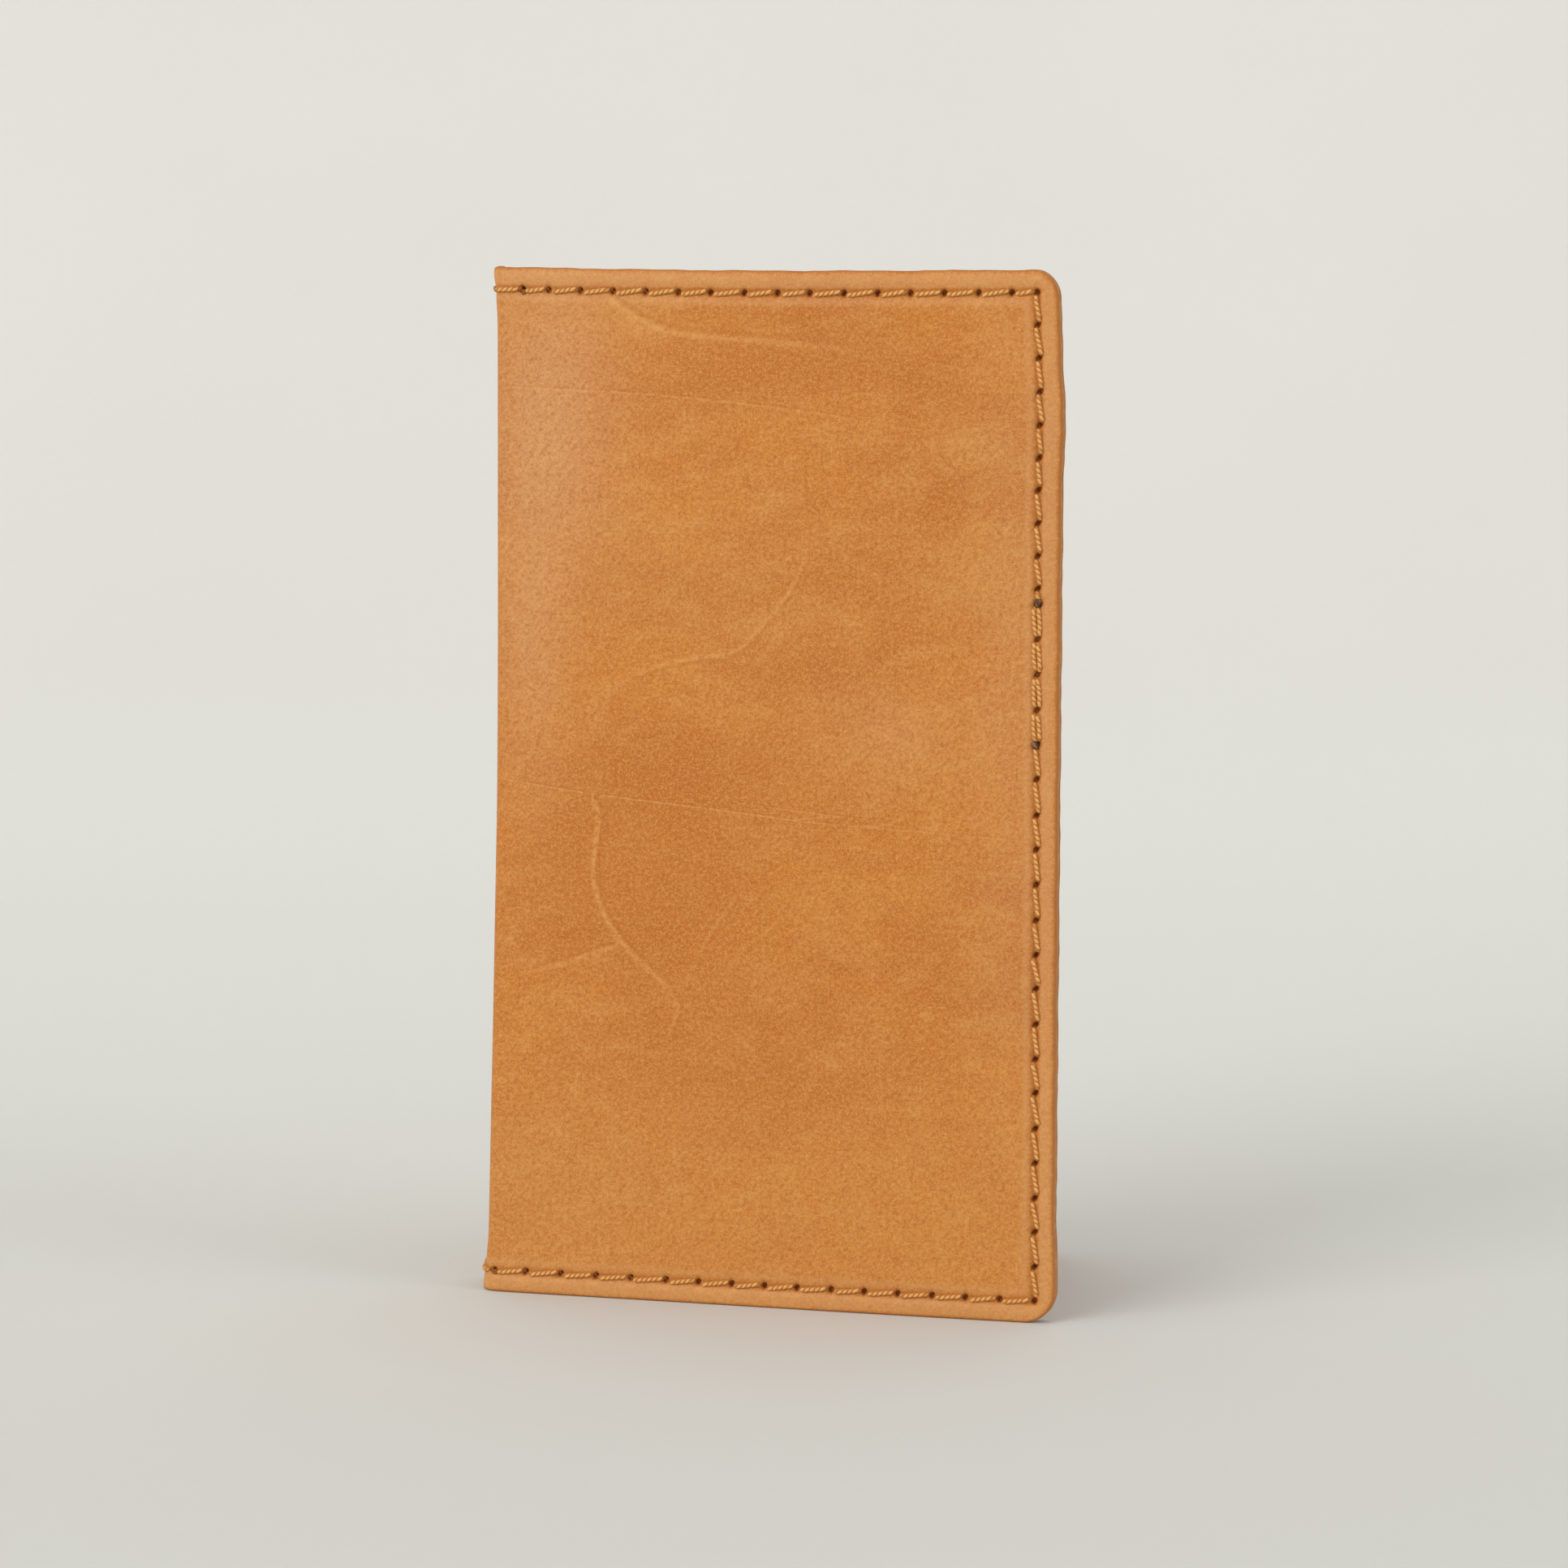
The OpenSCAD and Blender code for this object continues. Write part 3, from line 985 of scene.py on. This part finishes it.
def add_veins(g, flat, colour, height, fleck_dark):
    """Veins and scratches: broken pale raised lines, each with a thin shade along one side."""
    _, mark_d, mark_strength, mark_width = g.attribute("mark")
    off = g.math("DIVIDE", g.math("ABSOLUTE", mark_d), mark_width)
    broken = g.ramp(g.noise(flat, 0.8, 4.0, 0.7), 0.34, 0.6, 0.15, 1.0)
    line = g.math("MULTIPLY", g.ramp(off, 0.0, 1.1, 1.0, 0.0), g.math("MULTIPLY", mark_strength, broken))
    colour = g.mix(g.math("MULTIPLY", line, 0.74), colour, srgb(225, 162, 90))
    shade_d = g.math("ABSOLUTE", g.math("SUBTRACT", g.math("DIVIDE", mark_d, mark_width), 1.2))
    shade = g.math("MULTIPLY", g.ramp(shade_d, 0.0, 0.9, 0.3, 0.0), mark_strength)
    return g.mix(shade, colour, fleck_dark), g.math("MULTIPLY_ADD", line, 0.55, height)


def leather(name, main, dark, light, worn, edge, fleck_light, fleck_dark, veined):
    """Waxed full-grain leather, with a bare flesh side and stitch holes darkened by painted shade."""
    g = Graph(name)
    flat, _, _, back = g.attribute("flat")
    _, edge_d, seam_d, hole_d = g.attribute("rim")
    colour = hide_colour(g, flat, main, dark, light)
    colour, height = add_grain(g, flat, colour, fleck_light, fleck_dark)
    colour = add_wear_and_groove_shade(g, edge_d, seam_d, colour, worn, edge)
    if veined:
        colour, height = add_veins(g, flat, colour, height, fleck_dark)
    # The flesh side is paler, with a short nap
    nap = g.noise(g.stretch(flat, (0.6, 0.35, 1.0)), 1.0, 6.0, 0.8)
    flesh = g.mix(g.ramp(nap, 0.3, 0.7), srgb(176, 120, 70), srgb(202, 148, 95))
    colour = g.mix(g.ramp(back, 0.6, 0.95), colour, flesh)
    # Painted shade: the stitch holes are coloured dark brown
    hole_mask = g.ramp(hole_d, 0.3, 0.8, 1.0, 0.0)
    colour = g.mix(g.math("MULTIPLY", hole_mask, 0.96), colour, srgb(112, 42, 0))

    swell = g.bump(g.noise(flat, 0.16, 3.0, 0.55, 0.3), 0.00035, 0.35)
    normal = g.bump(height, 0.00009, 0.5, swell)
    rough = g.ramp(g.noise(flat, 0.5, 3.0, 0.6), 0.3, 0.7, 0.48, 0.62)
    rough = g.math("MULTIPLY_ADD", g.ramp(back, 0.6, 0.95), 0.3, rough)
    rough = g.math("ADD", g.ramp(edge_d, 0.0, 0.8, 0.3, 0.0), rough)
    rough = g.math("MULTIPLY_ADD", hole_mask, 0.4, rough)
    return g.finish(colour, rough, normal, specular=0.28)


def thread_material(name, dark, main, light):
    """Waxed linen thread: painted highlights on its crests, painted shade on its sides, ends darkened where
    it sinks into its holes by painted shade and some stain, fine fibres and an uneven dye.
    """
    g = Graph(name)
    fibre, _, _, shine = g.attribute("fibre")
    strands = g.noise(g.stretch(fibre, (3.0, 9.0, 0.0)), 1.0, 3.0, 0.6)
    dye = g.noise(g.stretch(fibre, (0.35, 0.4, 0.0)), 1.0, 2.0)
    # Painted light: dark on the shaded sides and sunk ends, light on the crests
    colour = g.mix(g.ramp(shine, 0.0, 0.3), dark, main)
    colour = g.mix(g.ramp(shine, 0.34, 0.95), colour, light)
    colour = g.mix(g.ramp(strands, 0.3, 0.7, 0.2, 0.0), colour, dark)
    colour = g.mix(g.ramp(dye, 0.45, 0.75, 0.0, 0.2), colour, dark)
    normal = g.bump(strands, 0.00005, 0.6)
    rough = g.ramp(strands, 0.3, 0.7, 0.5, 0.68)
    return g.finish(colour, rough, normal, specular=0.28)


def studio_material():
    """Plain pale studio paper with a barely visible tooth; the floor in front is a little darker, a painted
    shade.
    """
    g = Graph("studio_paper")
    place_on = g.node("ShaderNodeNewGeometry", {}).outputs["Position"]
    _, depth, height = g.node("ShaderNodeSeparateXYZ", {0: place_on}).outputs
    wall = g.mix(g.noise(place_on, 6.0, 3.0, 0.5), srgb(220, 218, 211), srgb(225, 224, 217))
    # Painted shade: the floor is darker towards the front
    floor = g.mix(g.ramp(depth, -0.2, 0.5), srgb(209, 209, 203), srgb(224, 224, 218))
    colour = g.mix(g.ramp(height, 0.0, 0.06), floor, wall)
    normal = g.bump(g.noise(place_on, 900.0, 2.0), 0.0002, 0.15)
    return g.finish(colour, 0.9, normal, specular=0.1)


outer_leather = leather(
    "outer_leather",
    main=srgb(210, 128, 40),
    dark=srgb(193, 107, 26),
    light=srgb(216, 151, 74),
    worn=srgb(224, 168, 110),
    edge=srgb(172, 108, 54),
    fleck_light=srgb(228, 168, 98),
    fleck_dark=srgb(178, 96, 28),
    veined=True,
)
pocket_leather = leather(
    "pocket_leather",
    main=srgb(196, 128, 68),
    dark=srgb(176, 106, 52),
    light=srgb(208, 147, 92),
    worn=srgb(210, 152, 98),
    edge=srgb(164, 104, 54),
    fleck_light=srgb(220, 162, 106),
    fleck_dark=srgb(158, 94, 40),
    veined=False,
)
thread_finish = thread_material("linen_thread", srgb(150, 88, 28), srgb(195, 127, 56), srgb(246, 186, 112))
end_finish = thread_material("melted_thread", srgb(58, 38, 26), srgb(98, 68, 46), srgb(144, 110, 80))

# -------------------- the wallet


def dress(piece, material, slot, *nodes):
    """Gives a piece its material and hides the CAD nodes that it replaces. The slot is not used."""
    piece.data.materials.append(material)
    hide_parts(*nodes)


def bend_at_fold(piece, side):
    """Bakes the piece's transform into its mesh, the same on both sides."""
    if side == FRONT:
        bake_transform(piece)
    else:
        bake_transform(piece)


for half in (FRONT, REAR):
    word = SIDE_NAMES[half]
    body = word + "_half"
    shell = shell_half(half)
    dress(shell, outer_leather, "outer_leather", word + "_cover", "spine_strip")
    bend_at_fold(shell, half)

    for kind, surface, rise in (("needle", outer_surface, -1), ("bobbin", inner_surface, 1)):
        stitches = thread_piece(f"{word}_{kind}_stitches", half, seam_paths(half, surface, rise))
        dress(stitches, thread_finish, "thread", f"{word}_{kind}_thread", f"spine_{kind}_thread")
        bend_at_fold(stitches, half)

    for number, node in enumerate(PANELS[half]):
        panel = panel_piece(half, number)
        dress(panel, pocket_leather, "pocket_leather", node)
        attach(panel, body)

divider_stitches = thread_piece("divider_stitches", REAR, divider_paths())
dress(divider_stitches, thread_finish, "thread", "divider_thread")
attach(divider_stitches, "rear_half")

tails = thread_tails()
tails.data.materials.append(end_finish)
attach(tails, "front_half")

# -------------------- studio, light and camera


def studio_sweep():
    """A floor that curves up into a back wall."""
    half_width = 7.0
    radius = 0.7
    turn_start = 0.45
    bend = np.linspace(0, math.pi / 2, 25)
    profile = [(-9.0, 0.0)]
    profile += [(turn_start + radius * math.sin(a), radius * (1 - math.cos(a))) for a in bend]
    profile.append((turn_start + radius, 3.5))
    points = [(x, y, z) for y, z in profile for x in (-half_width, half_width)]
    faces = [(2 * i, 2 * i + 1, 2 * i + 3, 2 * i + 2) for i in range(len(profile) - 1)]
    mesh = bpy.data.meshes.new("studio_sweep")
    mesh.from_pydata(points, [], faces)
    mesh.polygons.foreach_set("use_smooth", [True] * len(faces))
    mesh.materials.append(studio_material())
    sweep = bpy.data.objects.new("studio_sweep", mesh)
    bpy.context.scene.collection.objects.link(sweep)


def soft_light(name, location, target, size, power, colour):
    """A square softbox that faces a point."""
    data = bpy.data.lights.new(name, "AREA")
    data.shape = "SQUARE"
    data.size = size
    data.energy = power
    data.color = colour
    lamp = bpy.data.objects.new(name, data)
    bpy.context.scene.collection.objects.link(lamp)
    away = np.array(location, float) - np.array(target, float)
    away /= np.linalg.norm(away)
    right = np.cross((0, 0, 1), away)
    right /= np.linalg.norm(right)
    up = np.cross(away, right)
    lamp.matrix_world = Matrix([
        [right[0], up[0], away[0], location[0]],
        [right[1], up[1], away[1], location[1]],
        [right[2], up[2], away[2], location[2]],
        [0, 0, 0, 1],
    ])


def camera_at(location, yaw, down, roll, focal):
    """A camera that looks along +Y, turned left by yaw, then down, then rolled, all in radians.

    The focal length is in mm, on a sensor 36 mm wide.
    """
    data = bpy.data.cameras.new("camera")
    data.lens = focal
    data.sensor_width = 36
    camera = bpy.data.objects.new("camera", data)
    bpy.context.scene.collection.objects.link(camera)
    level_right = np.array([math.cos(yaw), math.sin(yaw), 0])
    level_forward = np.array([-math.sin(yaw), math.cos(yaw), 0])
    zenith = np.array([0, 0, 1])
    forward = math.cos(down) * level_forward - math.sin(down) * zenith
    upright = math.sin(down) * level_forward + math.cos(down) * zenith
    right = math.cos(roll) * level_right - math.sin(roll) * upright
    up = math.sin(roll) * level_right + math.cos(roll) * upright
    camera.matrix_world = Matrix([
        [right[0], up[0], -forward[0], location[0]],
        [right[1], up[1], -forward[1], location[1]],
        [right[2], up[2], -forward[2], location[2]],
        [0, 0, 0, 1],
    ])
    bpy.context.scene.camera = camera


studio_sweep()
target = (0, 0, 0.08)
wall = (0, 1.2, 0.5)
soft_light("key_light", (-1.3, -1.4, 1.05), target, size=1.3, power=21.5, colour=(1.0, 0.985, 0.96))
soft_light("fill_light", (1.7, -0.7, 0.55), target, size=1.2, power=10, colour=(0.98, 0.985, 1.0))
soft_light("wall_light", (0.0, 0.3, 2.4), wall, size=1.6, power=13, colour=(1.0, 1.0, 1.0))

world = bpy.data.worlds.new("studio")
world.use_nodes = True
background = world.node_tree.nodes["Background"]
background.inputs["Color"].default_value = (0.96, 0.97, 1.0, 1.0)
background.inputs["Strength"].default_value = 0.54
bpy.context.scene.world = world
bpy.context.scene.view_settings.view_transform = "Standard"

# The camera stands where the photograph was taken from
CAMERA_PLACE = (0.012886, -0.810525, 0.159568)
camera_at(CAMERA_PLACE, yaw=0.014995, down=0.09507, roll=-0.004378, focal=115.53)
